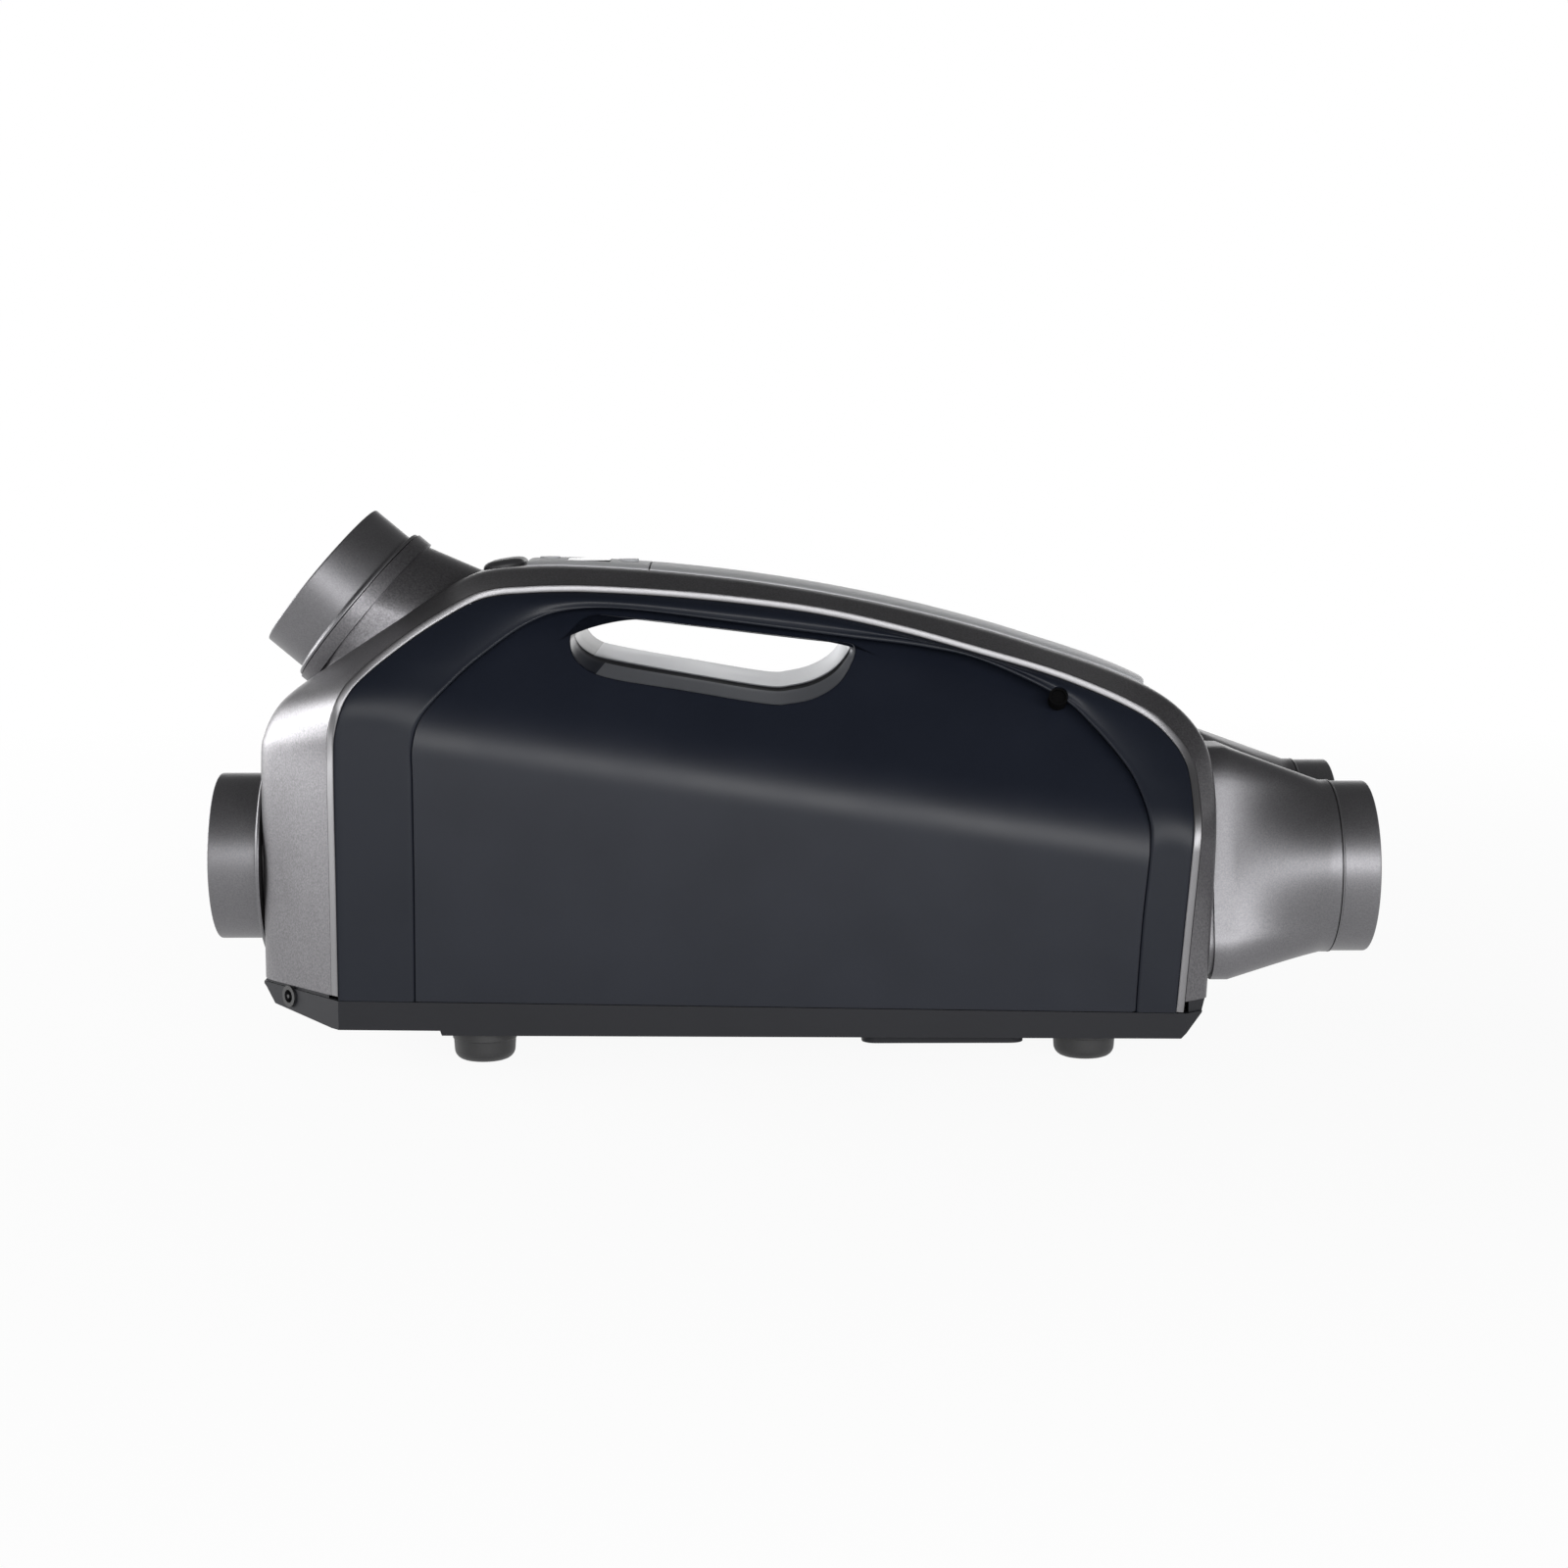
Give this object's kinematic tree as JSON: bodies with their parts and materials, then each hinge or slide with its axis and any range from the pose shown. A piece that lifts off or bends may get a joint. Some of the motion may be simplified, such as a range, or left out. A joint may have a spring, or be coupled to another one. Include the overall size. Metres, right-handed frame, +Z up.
{
  "type": "car dryer blower",
  "caption": "Portable wedge-shaped blower with a handle slot, round rear intake ducts and paired front outlet ducts for drying vehicles.",
  "frame": {"origin": "on the floor under the middle of the machine's length and width", "axes": "+X towards the outlet ducts at the front, +Y to the machine's left, +Z up"},
  "size_m": [0.68, 0.2324, 0.3129],
  "materials": {
    "shell": "metallic satin paint",
    "trim": "satin silver",
    "frame_plastic": "satin",
    "panel_plastic": "satin",
    "liner": "satin metallic",
    "base_plastic": "satin",
    "rubber": "matte",
    "steel": "zinc plated",
    "strip_gloss": "gloss",
    "display": "gloss",
    "circuit_board": "solder mask",
    "black_plastic": "satin",
    "foam": "open-cell foam",
    "duct_plastic": "metallic satin paint",
    "heat_sink": "extruded",
    "wire_cover": "matte",
    "button_plastic": "satin"
  },
  "bodies": {
    "body": {"main_shell": "shell", "trim_right": "trim", "trim_left": "trim", "side_frame_right": "frame_plastic", "side_frame_left": "frame_plastic", "side_panel_right": "panel_plastic", "side_panel_left": "panel_plastic", "handle_liner": "liner", "base_tray": "base_plastic", "belly_hatch": "base_plastic", "belly_screws": "steel", "foot_rear_right": "rubber", "foot_rear_left": "rubber", "foot_front_right": "rubber", "foot_front_left": "rubber", "foot_screws": "steel", "top_strip": "strip_gloss", "control_panel": "strip_gloss", "display_window": "display", "control_board": "circuit_board", "button_switches": "steel", "plug_right": "black_plastic", "plug_left": "black_plastic", "power_inlet": "black_plastic", "rear_socket": "black_plastic", "lower_filter": "foam", "upper_neck": "shell", "upper_socket": "duct_plastic", "upper_filter": "foam", "outlet_right": "duct_plastic", "outlet_left": "duct_plastic", "outlet_guard_right": "black_plastic", "outlet_guard_left": "black_plastic", "outlet_collar_right": "duct_plastic", "outlet_collar_left": "duct_plastic", "bulkhead": "black_plastic", "fan_tube_right": "black_plastic", "fan_tube_left": "black_plastic", "motor_right": "steel", "motor_left": "steel", "bearings_right": "steel", "bearings_left": "steel", "power_board": "circuit_board", "heat_sink": "heat_sink", "wiring": "wire_cover"},
    "lower_intake": {"lower_collar": "duct_plastic", "lower_guard": "black_plastic"},
    "upper_intake": {"upper_collar": "duct_plastic", "upper_guard": "black_plastic"},
    "power_button": {"power_button": "button_plastic"},
    "speed_up_button": {"speed_up_button": "button_plastic"},
    "speed_down_button": {"speed_down_button": "button_plastic"},
    "fan_right": {"shaft_right": "steel", "impeller_right": "black_plastic"},
    "fan_left": {"shaft_left": "steel", "impeller_left": "black_plastic"}
  },
  "joints": [
    {"name": "lower_collar_twist", "type": "hinge", "parent": "body", "child": "lower_intake", "pos_m": [-0.306, 0, 0.105], "axis": [-1, 0, 0], "range_deg": [0, 30]},
    {"name": "upper_collar_twist", "type": "hinge", "parent": "body", "child": "upper_intake", "pos_m": [-0.2487, 0, 0.2518], "axis": [-0.766, 0, 0.6428], "range_deg": [0, 30]},
    {"name": "power_press", "type": "slide", "parent": "body", "child": "power_button", "axis": [0.1564, 0, -0.9877], "range_m": [0, 0.0015], "stiffness_N_per_m": 1500, "springref_m": -0.0005},
    {"name": "speed_up_press", "type": "slide", "parent": "body", "child": "speed_up_button", "axis": [0, 0, -1], "range_m": [0, 0.001], "stiffness_N_per_m": 1500, "springref_m": -0.0005},
    {"name": "speed_down_press", "type": "slide", "parent": "body", "child": "speed_down_button", "axis": [0, 0, -1], "range_m": [0, 0.001], "stiffness_N_per_m": 1500, "springref_m": -0.0005},
    {"name": "fan_right_spin", "type": "hinge", "parent": "body", "child": "fan_right", "pos_m": [0.08, -0.055, 0.106], "axis": [1, 0, 0], "continuous": true},
    {"name": "fan_left_spin", "type": "hinge", "parent": "body", "child": "fan_left", "pos_m": [0.08, 0.055, 0.106], "axis": [1, 0, 0], "continuous": true}
  ]
}
